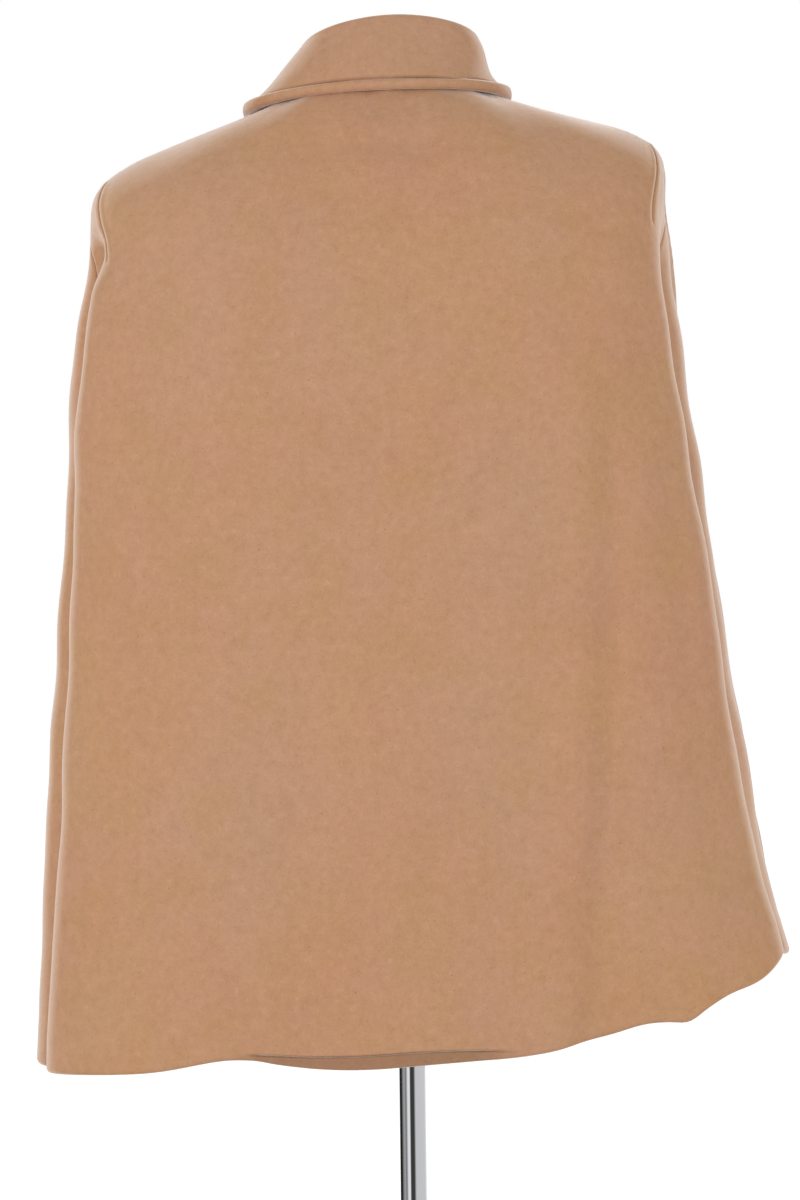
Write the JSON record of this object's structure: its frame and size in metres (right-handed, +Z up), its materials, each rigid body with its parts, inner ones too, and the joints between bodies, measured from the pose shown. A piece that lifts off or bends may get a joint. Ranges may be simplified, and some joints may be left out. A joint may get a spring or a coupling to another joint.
{
  "type": "wool cape on a limbless dress form with a stand",
  "caption": "Straight, hip-length wool cape with shoulder darts and a turned-down collar, on a limbless dress form with a chromed pole and round base.",
  "frame": {"origin": "on the floor, under the middle of the round base plate", "axes": "+Z up along the pole; the garment faces -Y, so its back is towards +Y and the wearer's left is +X"},
  "size_m": [0.6306, 0.3939, 1.4581],
  "materials": {
    "wool": "brushed nap",
    "cover": "matt jersey",
    "chrome": "polished",
    "steel": "satin"
  },
  "bodies": {
    "root": {"back": "wool", "front_left": "wool", "front_right": "wool", "collar": "wool", "form_torso": "cover", "neck_cap": "steel", "pole_socket": "steel", "pole": "chrome", "base_plate": "steel", "base_hub": "chrome"}
  },
  "joints": []
}
